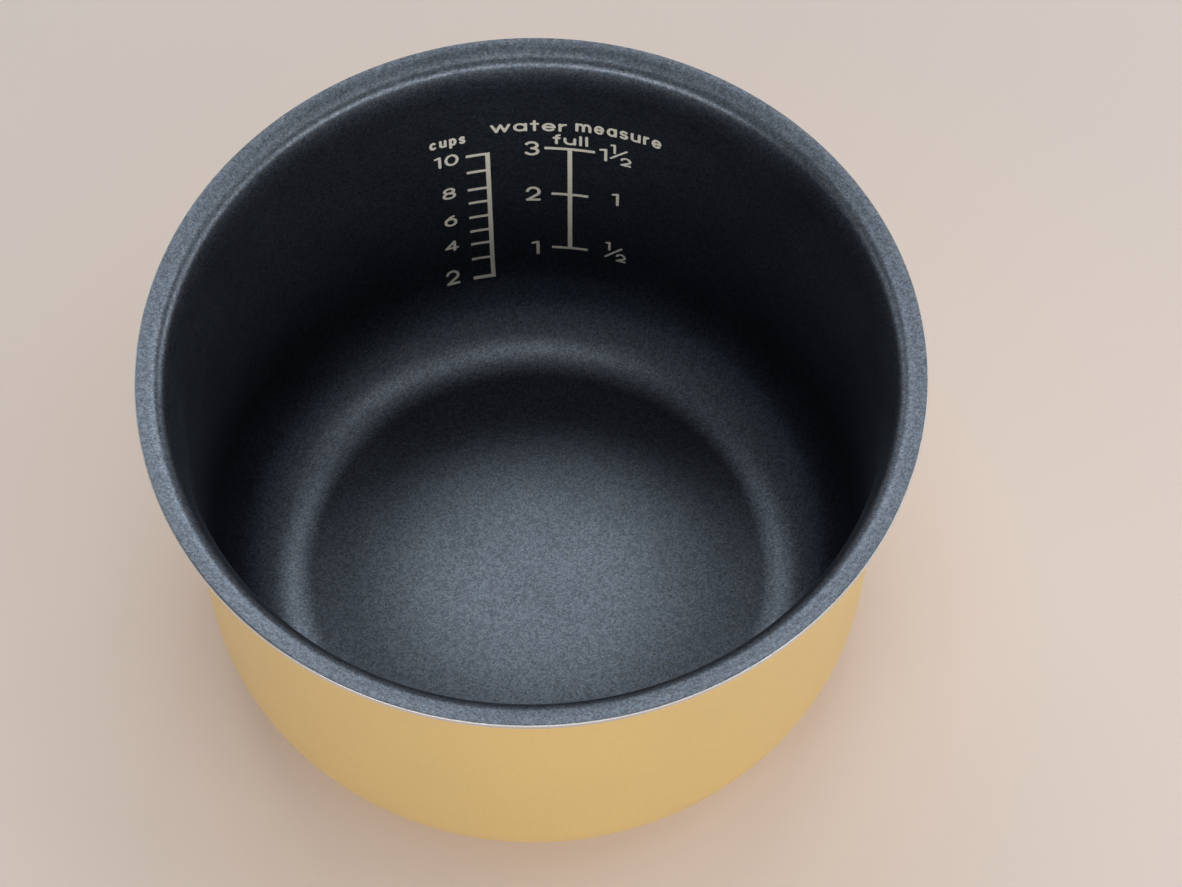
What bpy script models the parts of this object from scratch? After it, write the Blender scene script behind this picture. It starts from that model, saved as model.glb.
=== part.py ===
"""Inner cooking pot of a rice cooker, built as its real layers.

Frame: origin at the centre of the underside, +Z up along the pot's axis, +Y towards the printed level scales.
Everything is in metres. A point of the wall is found from the inner face of the pot, the face that food touches:
each layer is that face moved outwards by a depth, so all the layers stay parallel.
"""
import math

import bmesh
import bpy

MM = 0.001

# ---- driving dimensions, in millimetres ----
HEIGHT = 141.0            # table to the top of the flange
RIM_RADIUS = 120.0        # outer edge of the flange
FLANGE_CREST_RADIUS = 119.6  # where the flange is highest
FLANGE_SLOPE = math.radians(16.5)  # the flange drains inwards
LIP_RADIUS = 5.8          # rounding of the lip, on the inner face
LIP_TURN = math.radians(61.5)  # slope at which the lip's rounding hands over to the flare
FLARE_RADIUS = 22.0       # gentler rounding from there down to the straight wall
BORE_TOP_RADIUS = 109.0   # inner face of the straight wall, carried up to the top of the flange
BORE_BASE_RADIUS = 104.4  # inner face of the wall, carried down to the table
CORNER_RADIUS = 31.0      # rounding between wall and floor, on the inner face
LINING = 0.25             # non-stick lining
METAL = 1.95              # aluminium
COAT = 0.25               # gold lacquer
GAP = 0.05                # clearance between two layers
HEATER_FACE_RADIUS = 62.0  # bare metal under the base, which stands on the heater plate
HEATER_FACE_DEPTH = 2.60  # inner floor to table: lining, metal, coat and clearances
EDGE_ROUND = 0.35         # softened corners of the polished flange edge

# level scales: heights above the table
RICE_MARKS = {10: 94.4, 9: 85.1, 8: 75.1, 7: 67.4, 6: 58.9, 5: 50.6, 4: 42.9, 3: 33.8, 2: 24.0}
RICE_SPINE_AZIMUTH = 98.5   # degrees, anticlockwise from +X seen from above
RICE_TICK = 6.4             # length of a tick beyond the spine
WATER_MARKS = {3: 96.0, 2: 69.9, 1: 38.0}
WATER_SPINE_AZIMUTH = 84.1
WATER_TICK_HALF = {3: 8.2, 2: 6.1, 1: 6.1}
SPINE_WIDTH = 1.5
TICK_HEIGHT = 1.3
PRINT = 0.15                # thickness of the ink

STEPS = 64                  # facets round the axis
LIP_POINTS = 3
FLARE_POINTS = 3
CORNER_POINTS = 8


def collection(name):
    made = bpy.data.collections.new(name)
    bpy.context.scene.collection.children.link(made)
    return made


def material(name, colour, roughness, metallic):
    made = bpy.data.materials.new(name)
    made.use_nodes = True
    shader = made.node_tree.nodes["Principled BSDF"]
    shader.inputs["Base Color"].default_value = (*colour, 1.0)
    shader.inputs["Roughness"].default_value = roughness
    shader.inputs["Metallic"].default_value = metallic
    made.diffuse_color = (*colour, 1.0)
    return made


# ---- the wall, from the inner face outwards ----
WALL_TILT = math.atan2(BORE_TOP_RADIUS - BORE_BASE_RADIUS, HEIGHT)  # draft of the wall from vertical


def bore(z, depth):
    """Radius of the straight wall at height z, a depth outside the inner face."""
    along = (BORE_TOP_RADIUS - BORE_BASE_RADIUS) / HEIGHT
    return BORE_BASE_RADIUS + along * z + depth / math.cos(WALL_TILT)


def corner(depth):
    """Centre and radius of the floor corner. Its centre is the same for every layer."""
    z = HEATER_FACE_DEPTH + CORNER_RADIUS
    return bore(z, 0.0) - CORNER_RADIUS / math.cos(WALL_TILT), z, CORNER_RADIUS + depth


def floor_to_wall(depth):
    """Floor, corner and wall of one face, from the axis outwards and up: the corner's end is the wall's start."""
    cr, cz, radius = corner(depth)
    points = [(0.0, cz - radius)]
    for i in range(CORNER_POINTS + 1):
        angle = (math.pi / 2 + WALL_TILT * -1.0) * i / CORNER_POINTS
        points.append((cr + radius * math.sin(angle), cz - radius * math.cos(angle)))
    return points


def flange(r, depth):
    """Height of the sloping flange at radius r."""
    return HEIGHT - (FLANGE_CREST_RADIUS - r) * math.tan(FLANGE_SLOPE) - depth / math.cos(FLANGE_SLOPE)


def lip(depth):
    """Wall to flange, from the wall outwards and up: the flare leaves the wall, the lip ends on the flange.

    The slope of the face turns from the wall's to the flange's, and the centres are the same for every layer.
    """
    steep = math.pi / 2 - WALL_TILT
    out = FLARE_RADIUS * (math.sin(steep) - math.sin(LIP_TURN)) + LIP_RADIUS * (math.sin(LIP_TURN) - math.sin(FLANGE_SLOPE))
    up = FLARE_RADIUS * (math.cos(LIP_TURN) - math.cos(steep)) + LIP_RADIUS * (math.cos(FLANGE_SLOPE) - math.cos(LIP_TURN))
    along = (BORE_TOP_RADIUS - BORE_BASE_RADIUS) / HEIGHT
    fall = math.tan(FLANGE_SLOPE)
    start = (HEIGHT - up - (FLANGE_CREST_RADIUS - BORE_BASE_RADIUS - out) * fall) / (1.0 - along * fall)
    fr, fz = bore(start, 0.0) + FLARE_RADIUS * math.sin(steep), start - FLARE_RADIUS * math.cos(steep)
    lr = fr - (FLARE_RADIUS - LIP_RADIUS) * math.sin(LIP_TURN)
    lz = fz + (FLARE_RADIUS - LIP_RADIUS) * math.cos(LIP_TURN)
    points = []
    for i in range(FLARE_POINTS):
        slope = steep + (LIP_TURN - steep) * i / FLARE_POINTS
        radius = FLARE_RADIUS - depth
        points.append((fr - radius * math.sin(slope), fz + radius * math.cos(slope)))
    for i in range(LIP_POINTS + 1):
        slope = LIP_TURN + (FLANGE_SLOPE - LIP_TURN) * i / LIP_POINTS
        radius = LIP_RADIUS - depth
        points.append((lr - radius * math.sin(slope), lz + radius * math.cos(slope)))
    return points


def face(depth):
    return floor_to_wall(depth) + lip(depth)


def edge_corner(depth, start, end, count=3):
    """A softened corner of the flange's edge: an arc between two directions, in degrees from outwards to up."""
    r = RIM_RADIUS - EDGE_ROUND
    z = flange(r, depth)
    points = []
    for i in range(count + 1):
        angle = math.radians(start + (end - start) * i / count)
        points.append((r + EDGE_ROUND * math.cos(angle), z + EDGE_ROUND * math.sin(angle)))
    return points


def turned(name, profile, closed, where, finish):
    """A solid turned about +Z from a profile that goes up the inside and down the outside."""
    mesh = bpy.data.meshes.new(name)
    bm = bmesh.new()
    verts = [bm.verts.new((r * MM, 0.0, z * MM)) for r, z in profile]
    for a, b in zip(verts, verts[1:]):
        bm.edges.new((a, b))
    if closed:
        bm.edges.new((verts[-1], verts[0]))
    bm.to_mesh(mesh)
    bm.free()
    obj = bpy.data.objects.new(name, mesh)
    where.objects.link(obj)
    obj.data.materials.append(finish)
    screw = obj.modifiers.new("turn", "SCREW")
    screw.axis = "Z"
    screw.angle = math.radians(360.0)
    screw.steps = STEPS
    screw.render_steps = STEPS
    screw.use_merge_vertices = True
    screw.merge_threshold = 0.00005
    screw.use_smooth_shade = True
    return obj


def scale_outline(spine_z, ticks, where, name):
    """The printed scale as a flat outline: an upright with ticks, drawn as one stepped outline in width and height."""
    half = SPINE_WIDTH / 2
    low, high = spine_z
    right = [(half, low)]
    left = [(-half, high)]
    for z, out_left, out_right in sorted(ticks):
        below, above = z - TICK_HEIGHT / 2, z + TICK_HEIGHT / 2
        if out_right > half:
            right += [(half, below), (out_right, below), (out_right, above), (half, above)]
    for z, out_left, out_right in sorted(ticks, reverse=True):
        below, above = z - TICK_HEIGHT / 2, z + TICK_HEIGHT / 2
        if out_left > half:
            left += [(-half, above), (-out_left, above), (-out_left, below), (-half, below)]
    outline = right + [(half, high)] + left + [(-half, low)]
    points = []
    for p in outline:
        if not points or math.dist(p, points[-1]) > 1e-6:
            points.append(p)
    if math.dist(points[0], points[-1]) < 1e-6:
        points.pop()
    curve = bpy.data.curves.new(name, "CURVE")
    curve.dimensions = "2D"
    curve.fill_mode = "BOTH"
    curve.extrude = 30.0 * MM
    spline = curve.splines.new("POLY")
    spline.points.add(len(points) - 1)
    for point, (x, y) in zip(spline.points, points):
        point.co = (x * MM, y * MM, 0.0, 1.0)
    spline.use_cyclic_u = True
    flat = bpy.data.objects.new(name + "_outline", curve)
    where.objects.link(flat)
    bpy.context.view_layer.update()
    mesh = bpy.data.meshes.new_from_object(flat.evaluated_get(bpy.context.evaluated_depsgraph_get()))
    bm = bmesh.new()
    bm.from_mesh(mesh)
    bmesh.ops.remove_doubles(bm, verts=bm.verts, dist=0.00001)
    bmesh.ops.recalc_face_normals(bm, faces=bm.faces)
    bm.to_mesh(mesh)
    bm.free()
    solid = bpy.data.objects.new(name + "_cutter", mesh)
    where.objects.link(solid)
    bpy.data.objects.remove(flat)
    return solid


def printed_scale(name, azimuth, spine_z, ticks, parts, cutters, finish):
    """Ink on the wall: a thin turned skin just inside the lining, kept only where the scale's outline covers it."""
    nearest, farthest = -GAP, -GAP - PRINT
    inner = floor_to_wall(farthest)[2:] + [(bore(110.0, farthest), 110.0)]
    outer = [(bore(110.0, nearest), 110.0)] + floor_to_wall(nearest)[2:][::-1]
    obj = turned(name, inner + outer, True, parts, finish)
    cutter = scale_outline(spine_z, ticks, cutters, name)
    cutter.hide_render = True
    cutter.display_type = "WIRE"
    turn = math.radians(azimuth - 90.0)
    cutter.rotation_euler = (math.radians(90.0), 0.0, turn)
    reach = 88.0 * MM
    cutter.location = (-math.sin(turn) * reach, math.cos(turn) * reach, 0.0)
    cut = obj.modifiers.new("outline", "BOOLEAN")
    cut.operation = "INTERSECT"
    cut.solver = "EXACT"
    cut.object = cutter
    return obj


for old in list(bpy.data.objects):
    bpy.data.objects.remove(old, do_unlink=True)

parts = collection("rice_cooker_inner_pot")
cutters = collection("cutters")

aluminium = material("bare_aluminium", (0.78, 0.79, 0.80), 0.22, 1.0)
dark_lining = material("nonstick_dark", (0.045, 0.055, 0.062), 0.42, 0.0)
gold = material("gold_lacquer", (0.62, 0.43, 0.16), 0.34, 0.35)
ink = material("cream_ink", (0.74, 0.68, 0.55), 0.55, 0.0)

# ---- non-stick lining: floor, wall, lip and the top of the flange ----
crest = FLANGE_CREST_RADIUS
profile = face(0.0) + [(crest, flange(crest, 0.0)), (crest + 0.07, flange(crest + 0.07, LINING))] + face(LINING)[::-1]
turned("nonstick_lining", profile, False, parts, dark_lining)

# ---- aluminium shell: between the two coats, with the bare edge and the bare heater face ----
metal_in = LINING + GAP
metal_out = metal_in + METAL
slope = math.degrees(FLANGE_SLOPE)
edge = edge_corner(metal_in + EDGE_ROUND, 90.0 + slope, 0.0) + edge_corner(metal_out - EDGE_ROUND, 0.0, slope - 90.0)
heater_face = [
    (HEATER_FACE_RADIUS, HEATER_FACE_DEPTH - metal_out),
    (HEATER_FACE_RADIUS, 0.12),
    (HEATER_FACE_RADIUS - 0.3, 0.0),
    (0.0, 0.0),
]
turned("pot_shell", face(metal_in) + edge + face(metal_out)[::-1][:-1] + heater_face, False, parts, aluminium)

# ---- gold coat: under the flange, wall, corner, and the base round the heater face ----
coat_in = metal_out + GAP
coat_out = coat_in + COAT
start = HEATER_FACE_RADIUS + 0.3
coat_edge = RIM_RADIUS - 0.9
profile = (
    [(start, HEATER_FACE_DEPTH - coat_in)]
    + face(coat_in)[1:]
    + [(coat_edge, flange(coat_edge, coat_in)), (coat_edge - 0.15, flange(coat_edge - 0.15, coat_out))]
    + face(coat_out)[::-1][:-1]
    + [(start, HEATER_FACE_DEPTH - coat_out)]
)
turned("gold_outer_coat", profile, True, parts, gold)

# ---- printed level scales ----
rice_ticks = [(z, SPINE_WIDTH / 2 + RICE_TICK, 0.0) for z in RICE_MARKS.values()]
rice_low, rice_high = min(RICE_MARKS.values()), max(RICE_MARKS.values())
printed_scale(
    "rice_scale_print",
    RICE_SPINE_AZIMUTH,
    (rice_low - TICK_HEIGHT / 2, rice_high + TICK_HEIGHT / 2),
    rice_ticks,
    parts,
    cutters,
    ink,
)
water_ticks = [(z, WATER_TICK_HALF[n], WATER_TICK_HALF[n]) for n, z in WATER_MARKS.items()]
water_low, water_high = min(WATER_MARKS.values()), max(WATER_MARKS.values())
printed_scale(
    "water_scale_print",
    WATER_SPINE_AZIMUTH,
    (water_low - TICK_HEIGHT / 2, water_high + TICK_HEIGHT / 2),
    water_ticks,
    parts,
    cutters,
    ink,
)
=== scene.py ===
"""Looks for the inner cooking pot of a rice cooker: fine turned surfaces, materials, printed scales, light, camera."""
import math

import bmesh
import bpy
import numpy as np
from mathutils import Matrix, Vector


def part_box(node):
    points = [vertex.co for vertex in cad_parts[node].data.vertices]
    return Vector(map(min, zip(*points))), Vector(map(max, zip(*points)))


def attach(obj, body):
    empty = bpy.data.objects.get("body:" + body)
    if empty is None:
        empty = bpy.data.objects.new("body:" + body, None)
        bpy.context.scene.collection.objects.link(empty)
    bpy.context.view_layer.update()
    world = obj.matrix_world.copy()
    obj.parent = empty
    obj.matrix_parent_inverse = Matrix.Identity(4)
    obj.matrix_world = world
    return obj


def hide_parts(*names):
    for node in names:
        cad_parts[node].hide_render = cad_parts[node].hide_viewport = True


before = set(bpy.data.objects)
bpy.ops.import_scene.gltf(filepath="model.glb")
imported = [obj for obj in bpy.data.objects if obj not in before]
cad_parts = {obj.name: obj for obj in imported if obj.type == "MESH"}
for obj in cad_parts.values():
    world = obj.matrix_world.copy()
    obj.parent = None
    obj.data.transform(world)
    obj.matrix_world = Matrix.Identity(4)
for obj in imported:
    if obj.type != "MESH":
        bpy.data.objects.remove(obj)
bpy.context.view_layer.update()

MM = 0.001
ROOT = "root"

# ---- sizes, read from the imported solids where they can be, in millimetres ----
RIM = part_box("pot_shell")[1].x / MM           # outer edge of the flange
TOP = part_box("nonstick_lining")[1].z / MM     # crest of the flange
BORE_TOP, BORE_BASE = 109.0, 104.4            # inner face of the wall at the flange and carried down to the table
DEPTH_TO_TABLE = 2.60                         # inner floor to table
CORNER = 31.0
CREST = 119.6                                 # radius at which the sloping flange is highest
SLOPE = math.radians(16.5)                    # the flange drains inwards
LIP, LIP_TURN, FLARE = 5.8, math.radians(61.5), 22.0
LINING, METAL, COAT, GAP = 0.25, 1.95, 0.25, 0.05
EDGE_ROUND = 0.35
HEATER_FACE = 62.0
TILT = math.atan2(BORE_TOP - BORE_BASE, TOP)
SEGMENTS = 320


def srgb(r, g, b):
    """An 8-bit display colour as a linear one."""
    out = []
    for c in (r, g, b):
        c = c / 255.0
        out.append(c / 12.92 if c <= 0.04045 else ((c + 0.055) / 1.055) ** 2.4)
    return tuple(out)


# ================= the wall's profile =================
def bore(z, depth=0.0):
    return BORE_BASE + (BORE_TOP - BORE_BASE) / TOP * z + depth / math.cos(TILT)


def corner(depth):
    z = DEPTH_TO_TABLE + CORNER
    return bore(z) - CORNER / math.cos(TILT), z, CORNER + depth


def floor_to_wall(depth, floor_rings=10, arc=28, wall_rings=14):
    """Inner face moved outwards by depth: floor from the axis, corner arc, wall up to just under the lip."""
    cr, cz, radius = corner(depth)
    points = [(cr * i / floor_rings, cz - radius) for i in range(floor_rings)]
    for i in range(arc + 1):
        a = (math.pi / 2 - TILT) * i / arc
        points.append((cr + radius * math.sin(a), cz - radius * math.cos(a)))
    z0, z1 = points[-1][1], FLARE_START
    for i in range(1, wall_rings):
        z = z0 + (z1 - z0) * i / wall_rings
        points.append((bore(z, depth), z))
    return points


# the flare leaves the wall, the lip ends on the flange, and their centres are the same for every layer
STEEP = math.pi / 2 - TILT
OUT = FLARE * (math.sin(STEEP) - math.sin(LIP_TURN)) + LIP * (math.sin(LIP_TURN) - math.sin(SLOPE))
UP = FLARE * (math.cos(LIP_TURN) - math.cos(STEEP)) + LIP * (math.cos(SLOPE) - math.cos(LIP_TURN))
FLARE_START = (TOP - UP - (CREST - BORE_BASE - OUT) * math.tan(SLOPE)) / (1.0 - (BORE_TOP - BORE_BASE) / TOP * math.tan(SLOPE))
FLARE_R = bore(FLARE_START) + FLARE * math.sin(STEEP)
FLARE_Z = FLARE_START - FLARE * math.cos(STEEP)
LIP_R = FLARE_R - (FLARE - LIP) * math.sin(LIP_TURN)
LIP_Z = FLARE_Z + (FLARE - LIP) * math.cos(LIP_TURN)


def flange(r, depth):
    """Height of the sloping flange at radius r."""
    return TOP - (CREST - r) * math.tan(SLOPE) - depth / math.cos(SLOPE)


def lip(depth, flare_points=10, lip_points=14):
    out = []
    for i in range(flare_points):
        a = STEEP + (LIP_TURN - STEEP) * i / flare_points
        out.append((FLARE_R - (FLARE - depth) * math.sin(a), FLARE_Z + (FLARE - depth) * math.cos(a)))
    for i in range(lip_points + 1):
        a = LIP_TURN + (SLOPE - LIP_TURN) * i / lip_points
        out.append((LIP_R - (LIP - depth) * math.sin(a), LIP_Z + (LIP - depth) * math.cos(a)))
    return out


def face(depth):
    return floor_to_wall(depth) + lip(depth)


def edge_corner(depth, first, last, count=6):
    """A softened corner of the flange's edge: an arc between two directions, in degrees from outwards to up."""
    r = RIM - EDGE_ROUND
    z = flange(r, depth)
    return [
        (r + EDGE_ROUND * math.cos(math.radians(first + (last - first) * i / count)),
         z + EDGE_ROUND * math.sin(math.radians(first + (last - first) * i / count)))
        for i in range(count + 1)
    ]


def inner_face_at(z):
    """Radius of the face that food touches at height z (mm), and the slope angle of its normal above horizontal."""
    cr, cz, radius = corner(0.0)
    end = cz - radius * math.sin(TILT)
    if z >= end:
        return bore(z), TILT
    s = (cz - z) / radius
    return cr + math.sqrt(max(0.0, radius * radius - (cz - z) ** 2)), math.asin(min(1.0, s))


# ================= mesh helpers =================
def turned(name, profile, closed=False, segments=SEGMENTS, sharp=32.0):
    """A turned mesh from a profile that goes up the inside and down the outside. Points on the axis become poles."""
    verts, rings = [], []
    for r, z in profile:
        if r < 1e-6:
            rings.append([len(verts)])
            verts.append((0.0, 0.0, z * MM))
        else:
            start = len(verts)
            for k in range(segments):
                a = 2 * math.pi * k / segments
                verts.append((r * MM * math.cos(a), r * MM * math.sin(a), z * MM))
            rings.append(list(range(start, start + segments)))
    faces = []
    pairs = list(zip(rings, rings[1:]))
    if closed:
        pairs.append((rings[-1], rings[0]))
    for a, b in pairs:
        for k in range(segments):
            n = (k + 1) % segments
            if len(a) == 1 and len(b) == 1:
                continue
            if len(a) == 1:
                faces.append((a[0], b[k], b[n]))
            elif len(b) == 1:
                faces.append((a[k], b[0], a[n]))
            else:
                faces.append((a[k], b[k], b[n], a[n]))
    mesh = bpy.data.meshes.new(name)
    mesh.from_pydata(verts, [], faces)
    bm = bmesh.new()
    bm.from_mesh(mesh)
    bmesh.ops.recalc_face_normals(bm, faces=bm.faces)
    bm.to_mesh(mesh)
    bm.free()
    mesh.shade_smooth()
    mesh.set_sharp_from_angle(angle=math.radians(sharp))
    obj = bpy.data.objects.new(name, mesh)
    bpy.context.scene.collection.objects.link(obj)
    return obj


def node_tree(name):
    m = bpy.data.materials.new(name)
    m.use_nodes = True
    nt = m.node_tree
    shader = nt.nodes["Principled BSDF"]
    return m, nt, shader


def add(nt, kind, **settings):
    n = nt.nodes.new(kind)
    for k, v in settings.items():
        setattr(n, k, v)
    return n


def put(node, values):
    for k, v in values.items():
        node.inputs[k].default_value = v
    return node


def ramp(nt, stops, interpolation="LINEAR"):
    n = add(nt, "ShaderNodeValToRGB")
    n.color_ramp.interpolation = interpolation
    e = n.color_ramp.elements
    while len(e) < len(stops):
        e.new(0.5)
    for item, (pos, col) in zip(e, stops):
        item.position = pos
        item.color = (*col, 1.0) if len(col) == 3 else col
    return n


def mapping_range(nt, a, b, c, d):
    n = add(nt, "ShaderNodeMapRange")
    put(n, {"From Min": a, "From Max": b, "To Min": c, "To Max": d})
    return n


def mix_colour(nt, mode="MIX"):
    n = add(nt, "ShaderNodeMix", data_type="RGBA", blend_type=mode)
    return n


# ================= materials =================
def lining_material():
    m, nt, p = node_tree("nonstick_lining_speckled")
    L = nt.links.new
    coords = add(nt, "ShaderNodeTexCoord")
    # metallic flakes in a dark coat: cells about 0.6 mm across with a finer grain over them
    flake = add(nt, "ShaderNodeTexVoronoi", feature="F1")
    put(flake, {"Scale": 1500.0, "Randomness": 1.0})
    L(coords.outputs["Object"], flake.inputs["Vector"])
    cell = add(nt, "ShaderNodeSeparateColor")
    L(flake.outputs["Color"], cell.inputs["Color"])
    fine = add(nt, "ShaderNodeTexNoise")
    put(fine, {"Scale": 2300.0, "Detail": 2.0, "Roughness": 0.6})
    L(coords.outputs["Object"], fine.inputs["Vector"])
    cloud = add(nt, "ShaderNodeTexNoise")
    put(cloud, {"Scale": 38.0, "Detail": 3.0, "Roughness": 0.5})
    L(coords.outputs["Object"], cloud.inputs["Vector"])
    flake_level = mapping_range(nt, 0.0, 1.0, 0.70, 1.30)
    L(cell.outputs["Red"], flake_level.inputs["Value"])
    fine_level = mapping_range(nt, 0.3, 0.7, 0.60, 1.40)
    L(fine.outputs["Fac"], fine_level.inputs["Value"])
    cloud_level = mapping_range(nt, 0.3, 0.7, 0.95, 1.05)
    L(cloud.outputs["Fac"], cloud_level.inputs["Value"])
    product = add(nt, "ShaderNodeMath", operation="MULTIPLY")
    L(flake_level.outputs["Result"], product.inputs[0])
    L(fine_level.outputs["Result"], product.inputs[1])
    product2 = add(nt, "ShaderNodeMath", operation="MULTIPLY")
    L(product.outputs[0], product2.inputs[0])
    L(cloud_level.outputs["Result"], product2.inputs[1])
    # painted shade and painted highlight: the coat's colour is darkened towards the edge of the floor and in the
    # corner, standing in for shading there, and brightened along the lip as a painted highlight
    parts = add(nt, "ShaderNodeSeparateXYZ")
    L(coords.outputs["Object"], parts.inputs["Vector"])
    flat = add(nt, "ShaderNodeCombineXYZ")
    L(parts.outputs["X"], flat.inputs["X"])
    L(parts.outputs["Y"], flat.inputs["Y"])
    reach = add(nt, "ShaderNodeVectorMath", operation="LENGTH")
    L(flat.outputs["Vector"], reach.inputs[0])
    share = mapping_range(nt, 0.0, 0.125, 0.0, 1.0)
    L(reach.outputs["Value"], share.inputs["Value"])
    # radius in mm and colour factor: the dip from 36 to 81 mm is painted shade on the floor's edge and corner, the rise
    # from 107.5 to 114.5 mm is a painted highlight on the lip
    painted_light_tones = [(0.0, 1.0), (22.0, 1.0), (36.0, 0.85), (50.0, 0.58), (62.0, 0.42), (75.0, 0.40), (81.0, 0.85), (85.0, 1.0), (105.0, 1.0), (107.5, 1.22), (110.6, 1.22), (112.5, 1.40), (114.5, 1.40), (116.5, 0.93)]
    painted_shade_and_highlight = ramp(nt, [(radius / 125.0, (0.6 * tone, 0.6 * tone, 0.6 * tone)) for radius, tone in painted_light_tones])
    L(share.outputs["Result"], painted_shade_and_highlight.inputs["Fac"])
    product3 = add(nt, "ShaderNodeMath", operation="MULTIPLY")
    L(product2.outputs[0], product3.inputs[0])
    L(painted_shade_and_highlight.outputs["Color"], product3.inputs[1])
    product2 = product3
    tint = mix_colour(nt)
    L(cell.outputs["Green"], tint.inputs["Factor"])
    tint.inputs[6].default_value = (0.172, 0.207, 0.256, 1.0)
    tint.inputs[7].default_value = (0.196, 0.215, 0.246, 1.0)
    scaled = add(nt, "ShaderNodeVectorMath", operation="SCALE")
    L(tint.outputs[2], scaled.inputs[0])
    L(product2.outputs[0], scaled.inputs["Scale"])
    L(scaled.outputs["Vector"], p.inputs["Base Color"])
    put(p, {"Metallic": 0.93, "IOR": 1.45, "Specular IOR Level": 0.3})
    rough = mapping_range(nt, 0.3, 0.7, 0.33, 0.39)
    L(cloud.outputs["Fac"], rough.inputs["Value"])
    L(rough.outputs["Result"], p.inputs["Roughness"])
    # sprayed coat: shallow orange peel
    peel = add(nt, "ShaderNodeTexNoise")
    put(peel, {"Scale": 900.0, "Detail": 2.0, "Roughness": 0.5})
    L(coords.outputs["Object"], peel.inputs["Vector"])
    bump = add(nt, "ShaderNodeBump")
    put(bump, {"Strength": 0.3, "Distance": 0.00005})
    L(peel.outputs["Fac"], bump.inputs["Height"])
    L(bump.outputs["Normal"], p.inputs["Normal"])
    return m


def gold_material():
    m, nt, p = node_tree("gold_lacquer_satin")
    L = nt.links.new
    coords = add(nt, "ShaderNodeTexCoord")
    grain = add(nt, "ShaderNodeTexNoise")
    put(grain, {"Scale": 2600.0, "Detail": 2.0, "Roughness": 0.6})
    L(coords.outputs["Object"], grain.inputs["Vector"])
    cloud = add(nt, "ShaderNodeTexNoise")
    put(cloud, {"Scale": 16.0, "Detail": 3.0, "Roughness": 0.5})
    L(coords.outputs["Object"], cloud.inputs["Vector"])
    a = mapping_range(nt, 0.3, 0.7, 0.93, 1.07)
    L(grain.outputs["Fac"], a.inputs["Value"])
    b = mapping_range(nt, 0.3, 0.7, 0.975, 1.025)
    L(cloud.outputs["Fac"], b.inputs["Value"])
    product = add(nt, "ShaderNodeMath", operation="MULTIPLY")
    L(a.outputs["Result"], product.inputs[0])
    L(b.outputs["Result"], product.inputs[1])
    scaled = add(nt, "ShaderNodeVectorMath", operation="SCALE")
    scaled.inputs[0].default_value = (0.84, 0.605, 0.235)
    L(product.outputs[0], scaled.inputs["Scale"])
    L(scaled.outputs["Vector"], p.inputs["Base Color"])
    put(p, {"Metallic": 0.25, "IOR": 1.5, "Specular IOR Level": 0.4, "Coat Weight": 0.15, "Coat Roughness": 0.3})
    rough = mapping_range(nt, 0.3, 0.7, 0.38, 0.46)
    L(cloud.outputs["Fac"], rough.inputs["Value"])
    L(rough.outputs["Result"], p.inputs["Roughness"])
    peel = add(nt, "ShaderNodeTexNoise")
    put(peel, {"Scale": 520.0, "Detail": 2.0, "Roughness": 0.5})
    L(coords.outputs["Object"], peel.inputs["Vector"])
    bump = add(nt, "ShaderNodeBump")
    put(bump, {"Strength": 0.2, "Distance": 0.00005})
    L(peel.outputs["Fac"], bump.inputs["Height"])
    L(bump.outputs["Normal"], p.inputs["Normal"])
    return m


def metal_material():
    m, nt, p = node_tree("bare_aluminium_polished")
    L = nt.links.new
    coords = add(nt, "ShaderNodeTexCoord")
    split = add(nt, "ShaderNodeSeparateXYZ")
    L(coords.outputs["Object"], split.inputs["Vector"])
    # turned lines: rings about the axis, from the radius and the height
    sq = add(nt, "ShaderNodeVectorMath", operation="LENGTH")
    flat = add(nt, "ShaderNodeCombineXYZ")
    L(split.outputs["X"], flat.inputs["X"])
    L(split.outputs["Y"], flat.inputs["Y"])
    L(flat.outputs["Vector"], sq.inputs[0])
    rz = add(nt, "ShaderNodeCombineXYZ")
    L(sq.outputs["Value"], rz.inputs["X"])
    L(split.outputs["Z"], rz.inputs["Y"])
    lines = add(nt, "ShaderNodeTexNoise")
    put(lines, {"Scale": 2200.0, "Detail": 3.0, "Roughness": 0.6})
    L(rz.outputs["Vector"], lines.inputs["Vector"])
    wear = add(nt, "ShaderNodeTexNoise")
    put(wear, {"Scale": 60.0, "Detail": 4.0, "Roughness": 0.6})
    L(coords.outputs["Object"], wear.inputs["Vector"])
    tone = ramp(nt, [(0.3, (0.66, 0.67, 0.69)), (0.7, (0.86, 0.87, 0.88))])
    L(lines.outputs["Fac"], tone.inputs["Fac"])
    L(tone.outputs["Color"], p.inputs["Base Color"])
    rough = mapping_range(nt, 0.3, 0.7, 0.16, 0.30)
    L(wear.outputs["Fac"], rough.inputs["Value"])
    L(rough.outputs["Result"], p.inputs["Roughness"])
    put(p, {"Metallic": 1.0})
    bump = add(nt, "ShaderNodeBump")
    put(bump, {"Strength": 0.25, "Distance": 0.00003})
    L(lines.outputs["Fac"], bump.inputs["Height"])
    L(bump.outputs["Normal"], p.inputs["Normal"])
    return m


def ink_material():
    m, nt, p = node_tree("cream_print_ink")
    L = nt.links.new
    coords = add(nt, "ShaderNodeTexCoord")
    mottle = add(nt, "ShaderNodeTexNoise")
    put(mottle, {"Scale": 1400.0, "Detail": 3.0, "Roughness": 0.6})
    L(coords.outputs["Object"], mottle.inputs["Vector"])
    tone = ramp(nt, [(0.3, (0.90, 0.83, 0.69)), (0.7, (0.98, 0.93, 0.80))])
    L(mottle.outputs["Fac"], tone.inputs["Fac"])
    L(tone.outputs["Color"], p.inputs["Base Color"])
    put(p, {"Roughness": 0.55, "Specular IOR Level": 0.35})
    return m


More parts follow.
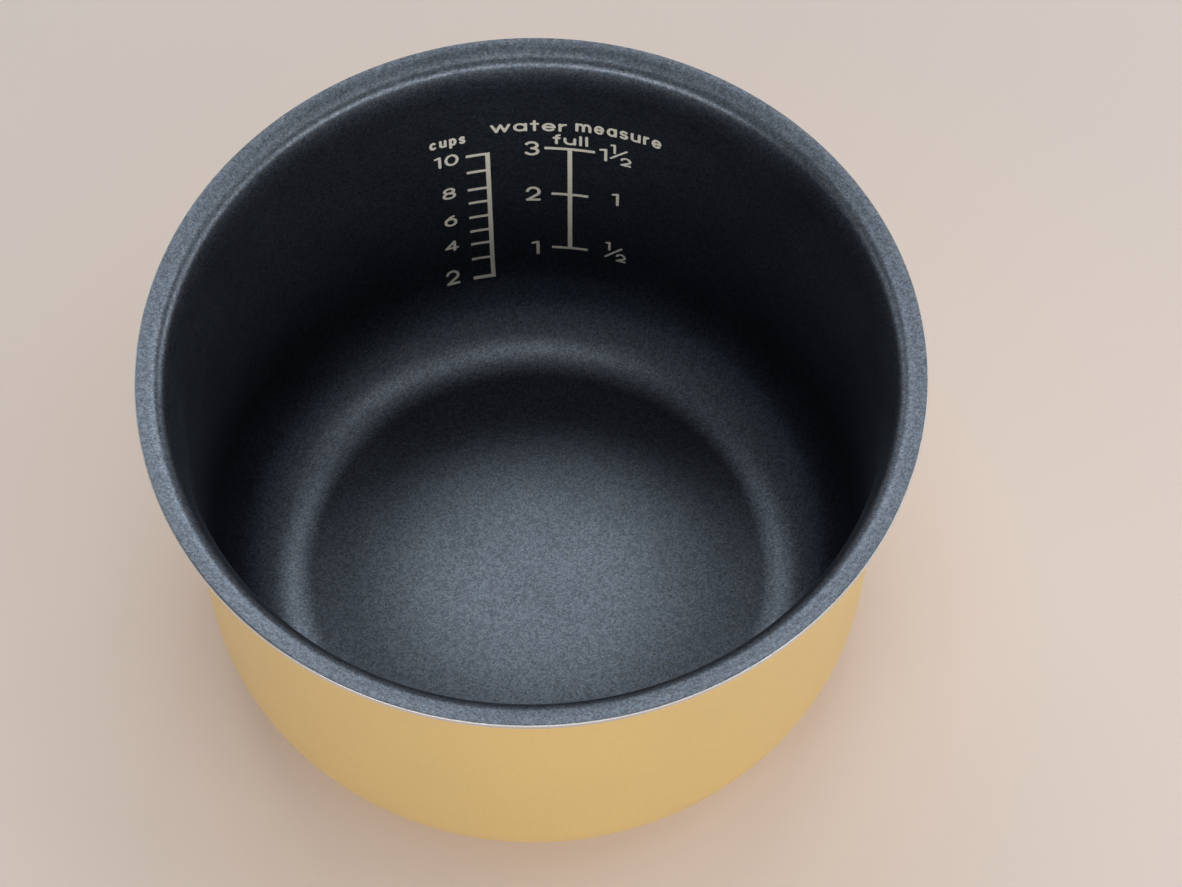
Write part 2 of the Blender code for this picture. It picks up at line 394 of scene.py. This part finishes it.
LINING_LOOK = lining_material()
GOLD_LOOK = gold_material()
METAL_LOOK = metal_material()
INK_LOOK = ink_material()


def finish_piece(obj, look, slot, *nodes):
    obj.data.materials.clear()
    obj.data.materials.append(look)
    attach(obj, ROOT)
    if nodes:
        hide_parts(*nodes)
    return obj


# ================= the three layers, finely turned =================
rim_flat = [
    (CREST - 0.08, flange(CREST - 0.08, 0.0)),
    (CREST - 0.02, flange(CREST, 0.0) - 0.03),
    (CREST + 0.05, flange(CREST + 0.05, 0.12)),
    (CREST + 0.07, flange(CREST + 0.07, LINING)),
]
lining = turned("lining_surface", face(0.0) + rim_flat + face(LINING)[::-1])
finish_piece(lining, LINING_LOOK, "nonstick_lining", "nonstick_lining")

d_in, d_out = LINING + GAP, LINING + GAP + METAL
slope = math.degrees(SLOPE)
edge_profile = edge_corner(d_in + EDGE_ROUND, 90.0 + slope, 0.0) + edge_corner(d_out - EDGE_ROUND, 0.0, slope - 90.0)
flat_z = DEPTH_TO_TABLE - d_out
shell_down = [q for q in face(d_out)[::-1] if q[0] > HEATER_FACE + 0.5]
heater = [(HEATER_FACE, flat_z), (HEATER_FACE, 0.12), (HEATER_FACE - 0.05, 0.04), (HEATER_FACE - 0.3, 0.0)]
heater += [(HEATER_FACE * (1 - i / 12), 0.0) for i in range(1, 13)]
shell = turned("shell_surface", face(d_in) + edge_profile + shell_down + heater)
finish_piece(shell, METAL_LOOK, "bare_aluminium", "pot_shell")

c_in = d_out + GAP
c_out = c_in + COAT
start = HEATER_FACE + 0.3
coat_edge = RIM - 0.9
coat_inner = [q for q in face(c_in) if q[0] > start + 0.5]
coat_outer = [q for q in face(c_out)[::-1] if q[0] > start + 0.5]
coat_profile = (
    [(start, DEPTH_TO_TABLE - c_in)]
    + coat_inner
    + [(coat_edge, flange(coat_edge, c_in)), (coat_edge - 0.04, flange(coat_edge - 0.04, c_out - 0.05)), (coat_edge - 0.15, flange(coat_edge - 0.15, c_out))]
    + coat_outer
    + [(start + 0.1, DEPTH_TO_TABLE - c_out), (start, DEPTH_TO_TABLE - c_out + 0.06)]
)
coat = turned("gold_coat_surface", coat_profile, closed=True)
finish_piece(coat, GOLD_LOOK, "gold_lacquer", "gold_outer_coat")

# ================= printing on the wall =================
INK_LIFT, INK_THICK = 0.02, 0.05  # mm


def on_wall(azimuth, x, z, lift):
    """Point of the wall: x mm to the right of azimuth (degrees), at height z mm, lifted off the wall by lift mm."""
    r, slope = inner_face_at(z)
    mid = inner_face_at(60.0)[0]
    a = math.radians(azimuth) - x / mid
    rr = r - lift * math.cos(slope)
    zz = z + lift * math.sin(slope)
    return Vector((rr * MM * math.cos(a), rr * MM * math.sin(a), zz * MM))


def wrap(name, flat_mesh, azimuth, height):
    """Bends a flat mesh (millimetres, x right, y up, about its own origin) on to the wall and gives it thickness."""
    bm = bmesh.new()
    bm.from_mesh(flat_mesh)
    bmesh.ops.remove_doubles(bm, verts=bm.verts, dist=0.002)
    xs = [v.co.x for v in bm.verts]
    ys = [v.co.y for v in bm.verts]
    step = 1.0
    for lo, hi, axis in ((min(xs), max(xs), 0), (min(ys), max(ys), 1)):
        k = math.floor(lo / step) + 1
        while k * step < hi:
            co = [0.0, 0.0, 0.0]
            no = [0.0, 0.0, 0.0]
            co[axis], no[axis] = k * step, 1.0
            bmesh.ops.bisect_plane(bm, geom=bm.verts[:] + bm.edges[:] + bm.faces[:], dist=0.0005, plane_co=co, plane_no=no)
            k += 1
    bmesh.ops.recalc_face_normals(bm, faces=bm.faces)
    # front and back skins, then the rim between them
    front = {}
    backs = {}
    out = bmesh.new()
    for v in bm.verts:
        front[v] = out.verts.new(on_wall(azimuth, v.co.x, height + v.co.y, INK_LIFT + INK_THICK))
        backs[v] = out.verts.new(on_wall(azimuth, v.co.x, height + v.co.y, INK_LIFT))
    for f in bm.faces:
        ring = list(f.verts)
        area = sum(a.co.x * b.co.y - b.co.x * a.co.y for a, b in zip(ring, ring[1:] + ring[:1]))
        if area < 0:
            ring = ring[::-1]
        try:
            out.faces.new([front[v] for v in ring])
            out.faces.new([backs[v] for v in reversed(ring)])
        except ValueError:
            pass
        for a, b in zip(ring, ring[1:] + ring[:1]):
            e = bm.edges.get((a, b))
            if e is not None and len(e.link_faces) == 1:
                try:
                    out.faces.new([front[b], front[a], backs[a], backs[b]])
                except ValueError:
                    pass
    bm.free()
    bmesh.ops.recalc_face_normals(out, faces=out.faces)
    mesh = bpy.data.meshes.new(name)
    out.to_mesh(mesh)
    out.free()
    mesh.shade_smooth()
    mesh.set_sharp_from_angle(angle=math.radians(40))
    obj = bpy.data.objects.new(name, mesh)
    bpy.context.scene.collection.objects.link(obj)
    finish_piece(obj, INK_LOOK, "cream_ink")
    return obj


def rect_union(name, boxes):
    """Flat mesh of overlapping rectangles, cut on a common grid so that it is one sheet. Boxes are (x0, y0, x1, y1)."""
    xs = sorted({round(v, 4) for b in boxes for v in (b[0], b[2])})
    ys = sorted({round(v, 4) for b in boxes for v in (b[1], b[3])})
    bm = bmesh.new()
    verts = {}

    def vert(i, j):
        if (i, j) not in verts:
            verts[(i, j)] = bm.verts.new((xs[i], ys[j], 0.0))
        return verts[(i, j)]

    for i in range(len(xs) - 1):
        for j in range(len(ys) - 1):
            cx, cy = (xs[i] + xs[i + 1]) / 2, (ys[j] + ys[j + 1]) / 2
            if any(b[0] < cx < b[2] and b[1] < cy < b[3] for b in boxes):
                bm.faces.new([vert(i, j), vert(i + 1, j), vert(i + 1, j + 1), vert(i, j + 1)])
    mesh = bpy.data.meshes.new(name + "_flat")
    bm.to_mesh(mesh)
    bm.free()
    return mesh


RICE_MARKS = {10: 94.4, 9: 85.1, 8: 75.1, 7: 67.4, 6: 58.9, 5: 50.6, 4: 42.9, 3: 33.8, 2: 24.0}
WATER_MARKS = {3: (96.0, 8.2), 2: (69.9, 6.1), 1: (38.0, 6.1)}
SPINE, TICK = 1.5, 1.3

boxes = [(-SPINE / 2, RICE_MARKS[2] - TICK / 2, SPINE / 2, RICE_MARKS[10] + TICK / 2)]
boxes += [(-7.1, z - TICK / 2, 0.0, z + TICK / 2) for z in RICE_MARKS.values()]
rice_scale = wrap("rice_scale", rect_union("rice_scale", boxes), 98.5, 0.0)
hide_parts("rice_scale_print")
boxes = [(-SPINE / 2, WATER_MARKS[1][0] - TICK / 2, SPINE / 2, WATER_MARKS[3][0] + TICK / 2)]
boxes += [(-w, z - TICK / 2, w, z + TICK / 2) for z, w in WATER_MARKS.values()]
water_scale = wrap("water_scale", rect_union("water_scale", boxes), 84.1, 0.0)
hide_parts("water_scale_print")


# ---- glyphs: centre lines of even strokes, in a box whose lower left corner is on the base line ----
def arc_line(cx, cy, rx, ry, a0, a1, count=28):
    return [
        (cx + rx * math.cos(math.radians(a0 + (a1 - a0) * i / count)), cy + ry * math.sin(math.radians(a0 + (a1 - a0) * i / count)))
        for i in range(count + 1)
    ]


def glyph(char, w, h, t):
    """Centre lines of a character whose inked box is w wide and h tall (h is the x-height for letters), stroke t."""
    l, r, b, top_, cx, mid = t / 2, w - t / 2, t / 2, h - t / 2, w / 2, h / 2
    rx, ry = (w - t) / 2, (h - t) / 2
    if char == "0":
        return [arc_line(cx, mid, rx, ry, 0, 360)]
    if char == "1":
        return [[(r, b), (r, top_)], [(l, top_ - 0.07 * h), (r, top_)]]
    if char == "2":
        q = 0.29 * h
        bow = arc_line(cx, top_ - q, rx, q, 168, -38)
        return [bow + [(l, b)], [(l, b), (r, b)]]
    if char == "3":
        q = ry / 2
        return [arc_line(cx, top_ - q, rx * 0.9, q, 155, -90), arc_line(cx, b + q, rx, q, 90, -155)]
    if char == "4":
        x = r - 0.2 * w
        y = b + 0.24 * h
        return [[(x, b), (x, top_), (l, y), (r, y)]]
    if char == "6":
        q = 0.30 * h
        tail = [(l, b + q), (l + 0.03 * w, b + q + 0.2 * h), (cx - 0.02 * w, top_ - 0.08 * h), (cx + 0.2 * w, top_)]
        return [arc_line(cx, b + q, rx, q, 0, 360), tail]
    if char == "8":
        q1, q2 = 0.46 * ry, 0.54 * ry
        return [arc_line(cx, top_ - q1, rx * 0.86, q1, 0, 360), arc_line(cx, b + q2, rx, q2, 0, 360)]
    if char == "/":
        return [[(l, b), (r, top_)]]
    if char == "c":
        return [arc_line(cx, mid, rx, ry, 48, 312)]
    if char == "e":
        return [arc_line(cx, mid, rx, ry, 0, 318), [(l, mid), (r, mid)]]
    if char == "a":
        return [arc_line(cx, mid, rx, ry, 0, 360), [(r, b), (r, top_)]]
    if char == "p":
        return [arc_line(cx, mid, rx, ry, 0, 360), [(l, top_), (l, b - 0.36 * h)]]
    if char == "u":
        q = min(rx, ry)
        return [[(l, top_)] + arc_line(cx, b + q, rx, q, 180, 360), [(r, top_), (r, b)]]
    if char == "s":
        q = ry / 2
        return [arc_line(cx, top_ - q, rx * 0.94, q, 28, 270), arc_line(cx, b + q, rx, q, 90, -152)]
    if char == "w":
        return [[(l, top_), (l + 0.22 * w, b), (cx, top_), (r - 0.22 * w, b), (r, top_)]]
    if char == "r":
        q = 0.4 * h
        return [[(l, b), (l, top_)], arc_line(r, top_ - q, w - t, q, 180, 90)]
    if char == "m":
        q = 0.38 * h
        half = (w - t) / 4
        return [
            [(l, b), (l, top_)],
            arc_line(l + half, top_ - q, half, q, 180, 0) + [(cx, b)],
            arc_line(cx + half, top_ - q, half, q, 180, 0) + [(r, b)],
        ]
    if char == "t":
        return [[(cx, b), (cx, top_ + 0.32 * h)], [(l, top_), (r, top_)]]
    if char == "l":
        return [[(cx, b), (cx, top_ + 0.42 * h)]]
    if char == "f":
        x = l + 0.3 * w
        q = 0.26 * h
        y = top_ + 0.42 * h
        return [[(x, b), (x, y - q)] + arc_line(r, y - q, r - x, q, 180, 90), [(l, top_), (r, top_)]]
    raise ValueError(char)


def stroke_distance(lines, xs, ys):
    """Distance from every grid point to the nearest centre line."""
    best = np.full((len(ys), len(xs)), 1e9)
    gx, gy = np.meshgrid(xs, ys)
    for line in lines:
        for (x0, y0), (x1, y1) in zip(line, line[1:]):
            dx, dy = x1 - x0, y1 - y0
            length = dx * dx + dy * dy
            u = np.clip(((gx - x0) * dx + (gy - y0) * dy) / length, 0.0, 1.0) if length > 1e-12 else 0.0
            best = np.minimum(best, np.hypot(gx - x0 - u * dx, gy - y0 - u * dy))
    return best


def outlines(field, xs, ys, level):
    """Closed loops around the region where field is under level."""
    inside = field < level
    links = {}

    def cross(i0, j0, i1, j1):
        a, b = field[j0, i0], field[j1, i1]
        u = (level - a) / (b - a)
        return (xs[i0] + (xs[i1] - xs[i0]) * u, ys[j0] + (ys[j1] - ys[j0]) * u)

    for j in range(len(ys) - 1):
        for i in range(len(xs) - 1):
            c = (inside[j, i], inside[j, i + 1], inside[j + 1, i + 1], inside[j + 1, i])
            if all(c) or not any(c):
                continue
            corners = ((i, j), (i + 1, j), (i + 1, j + 1), (i, j + 1))
            starts, ends = [], []
            for k in range(4):
                if c[k] != c[(k + 1) % 4]:
                    (ia, ja), (ib, jb) = corners[k], corners[(k + 1) % 4]
                    key = (min(ia, ib), min(ja, jb), "h" if ja == jb else "v")
                    (ends if c[k] else starts).append((k, key, cross(ia, ja, ib, jb)))
            for k, key, point in starts:
                # walk on from the side where the inside begins to the next side where it ends
                k2, key2, point2 = min(ends, key=lambda e: (e[0] - k) % 4)
                links[key2] = (key, point2)
                ends = [e for e in ends if e[0] != k2]
    loops = []
    while links:
        first = next(iter(links))
        key, loop = first, []
        while key in links:
            nxt, point = links.pop(key)
            loop.append(point)
            key = nxt
        loops.append(loop)
    return loops


def lettering(name, text, azimuth, height, width, tall, stroke, advance=None, parts=None, step=0.14):
    """Rounded lettering on the wall. tall is the height of a numeral or the x-height of a word; the ink's box is centred
    sideways on azimuth, and height is the middle of tall. parts gives (character, x, y, width, height) instead of text."""
    if parts is None:
        shares = {"m": 1.55, "w": 1.45, "1": 0.5, "l": 0.26, "t": 0.68, "f": 0.66, "r": 0.62, "s": 0.86}
        gap = advance if advance is not None else 0.26 * tall
        total = sum(shares.get(ch, 1.0) for ch in text)
        unit = (width - gap * (len(text) - 1)) / total
        x, parts = 0.0, []
        for ch in text:
            w = unit * shares.get(ch, 1.0)
            parts.append((ch, x, 0.0, w, tall))
            x += w + gap
    curve = bpy.data.curves.new(name + "_outline", "CURVE")
    curve.dimensions = "2D"
    curve.fill_mode = "FRONT"
    for ch, x, y, w, h in parts:
        lines = [[(px + x - width / 2, py + y - tall / 2) for px, py in line] for line in glyph(ch, w, h, stroke)]
        px = [p[0] for line in lines for p in line]
        py = [p[1] for line in lines for p in line]
        xs = np.arange(min(px) - stroke, max(px) + stroke + step, step)
        ys = np.arange(min(py) - stroke, max(py) + stroke + step, step)
        for loop in outlines(stroke_distance(lines, xs, ys), xs, ys, stroke / 2):
            kept = [loop[0]]
            for q in loop[1:]:
                if math.dist(q, kept[-1]) > 0.07:
                    kept.append(q)
            if len(kept) > 3 and math.dist(kept[0], kept[-1]) < 0.07:
                kept.pop()
            spline = curve.splines.new("POLY")
            spline.points.add(len(kept) - 1)
            for item, q in zip(spline.points, kept):
                item.co = (q[0], q[1], 0.0, 1.0)
            spline.use_cyclic_u = True
    obj = bpy.data.objects.new(name + "_outline", curve)
    bpy.context.scene.collection.objects.link(obj)
    bpy.context.view_layer.update()
    mesh = bpy.data.meshes.new_from_object(obj.evaluated_get(bpy.context.evaluated_depsgraph_get()))
    bpy.data.objects.remove(obj)
    return wrap(name, mesh, azimuth, height)


lettering("label_cups", "cups", 105.41, 104.2, 11.9, 4.0, 0.95, advance=0.75)
lettering("numeral_10", "10", 105.80, 94.23, 8.2, 6.35, 1.0, advance=1.1)
lettering("numeral_8", "8", 105.70, 75.42, 4.65, 6.4, 1.0)
lettering("numeral_6", "6", 105.75, 59.32, 4.5, 6.2, 1.0)
lettering("numeral_4", "4", 105.89, 44.23, 4.9, 6.1, 1.0)
lettering("numeral_2", "2", 106.18, 26.42, 4.8, 6.6, 1.0)
lettering("numeral_3_left", "3", 90.75, 95.78, 5.0, 7.9, 1.1)
lettering("numeral_2_left", "2", 90.66, 69.68, 5.0, 8.1, 1.1)
lettering("numeral_1_left", "1", 90.46, 37.41, 2.8, 8.1, 1.1)
lettering("label_water", "water", 91.2, 107.7, 24.6, 4.5, 1.0, advance=0.8)
lettering("label_measure", "measure", 75.5, 108.7, 28.4, 4.6, 1.0, advance=0.8)
lettering("label_full", "full", 84.0, 100.4, 11.6, 3.9, 0.95, advance=0.9)
MM_PER_DEGREE = inner_face_at(60.0)[0] * math.pi / 180


def fraction(name, bits, stroke):
    """Several numerals and strokes placed one by one: (character, azimuth, middle height, width, height)."""
    zero = bits[0][1]
    parts = []
    for ch, azimuth, z, w, h in bits:
        parts.append((ch, (zero - azimuth) * MM_PER_DEGREE - w / 2, z - h / 2, w, h))
    return lettering(name, "", zero, 0.0, 0.0, 0.0, stroke, parts=parts)


fraction("numeral_1_half_top", [("1", 78.23, 95.47, 2.7, 7.0)], 1.0)
fraction("numeral_half_top", [("1", 76.48, 99.70, 1.9, 5.2)], 0.85)
fraction("numeral_slash_top", [("/", 75.46, 96.97, 6.0, 6.1)], 0.8)
fraction("numeral_half_low_top", [("2", 74.16, 93.71, 3.7, 4.7)], 0.85)
fraction("numeral_1_right", [("1", 75.90, 71.05, 2.5, 7.0)], 1.0)
fraction("numeral_half_bottom", [("1", 77.05, 42.52, 1.9, 5.1)], 0.85)
fraction("numeral_slash_bottom", [("/", 75.98, 39.07, 6.4, 7.0)], 0.8)
fraction("numeral_half_low_bottom", [("2", 74.58, 36.63, 3.6, 4.8)], 0.85)

# ================= stage =================
bpy.ops.mesh.primitive_plane_add(size=6.0, location=(0, 0, -0.0002))
floor = bpy.context.object
floor.name = "floor"
floor_look, nt, p = node_tree("floor_pale")
put(p, {"Base Color": (*srgb(243, 229, 221), 1.0), "Roughness": 0.6, "Specular IOR Level": 0.3})
floor.data.materials.append(floor_look)


def softbox(name, azimuth, elevation, wide, high, radiance, colour=(1.0, 1.0, 1.0), distance=1.3):
    """A rectangular soft light seen from the pot at an azimuth and elevation, wide by high degrees, showing a radiance.

    Azimuth 0 is towards +X and 90 towards the scales.
    """
    a, e = math.radians(azimuth), math.radians(elevation)
    aim = Vector((0.0, 0.0, 0.1))
    data = bpy.data.lights.new(name, "AREA")
    data.shape = "RECTANGLE"
    data.size = 2 * distance * math.tan(math.radians(wide / 2)) * max(0.25, math.cos(e))
    data.size_y = 2 * distance * math.tan(math.radians(high / 2))
    data.energy = radiance * math.pi * data.size * data.size_y
    data.color = colour
    obj = bpy.data.objects.new(name, data)
    obj.location = aim + distance * Vector((math.cos(e) * math.cos(a), math.cos(e) * math.sin(a), math.sin(e)))
    obj.rotation_euler = (aim - obj.location).to_track_quat("-Z", "Y").to_euler()
    bpy.context.scene.collection.objects.link(obj)
    return obj


world = bpy.data.worlds.new("studio")
bpy.context.scene.world = world
world.use_nodes = True
world.node_tree.nodes["Background"].inputs["Color"].default_value = (0.97, 0.98, 1.0, 1.0)
world.node_tree.nodes["Background"].inputs["Strength"].default_value = 0.20

COOL = (0.93, 0.97, 1.0)
softbox("back_left", 112, 51, 34, 26, 2.45, COOL)
softbox("back_right", 73, 52, 40, 26, 2.8, COOL)
softbox("front_left", 240, 22, 44, 15, 3.2)
softbox("front_middle", 280, 22, 34, 15, 3.0)
softbox("front_right", 318, 22, 42, 15, 3.0)
softbox("side_right", 12, 22, 54, 15, 2.0)
softbox("side_left", 150, 22, 40, 15, 1.0)
softbox("top_right", 0, 67, 36, 15, 1.7)
softbox("top", 270, 84, 60, 14, 2.3)

# ================= camera =================
FOCAL = 3800.0                       # in pixels of the 1182-pixel-wide frame
ELEVATION, ROLL = math.radians(61.18), math.radians(0.04)
RIM_CENTRE = Vector((-0.150, -0.200, 9.574)) * RIM * MM   # in camera axes: right, down, forward

up = Vector((0.0, -math.cos(ELEVATION), -math.sin(ELEVATION)))
turn = Matrix.Rotation(ROLL, 3, "Z")
up = turn @ up
right = turn @ Vector((1.0, 0.0, 0.0))
away = up.cross(right)
camera_data = bpy.data.cameras.new("camera")
camera_data.sensor_width = 36.0
camera_data.sensor_fit = "HORIZONTAL"
camera_data.lens = FOCAL / 1182.0 * 36.0
camera_data.clip_end = 20.0
camera = bpy.data.objects.new("camera", camera_data)
bpy.context.scene.collection.objects.link(camera)
place = Vector((-RIM_CENTRE.dot(right), -RIM_CENTRE.dot(away), TOP * MM - RIM_CENTRE.dot(up)))
columns = (
    (right.x, away.x, up.x),
    (-right.y, -away.y, -up.y),
    (-right.z, -away.z, -up.z),
)
rotation = Matrix(columns).transposed()
camera.matrix_world = Matrix.Translation(place) @ rotation.to_4x4()
bpy.context.scene.camera = camera
bpy.context.scene.view_settings.view_transform = "Standard"
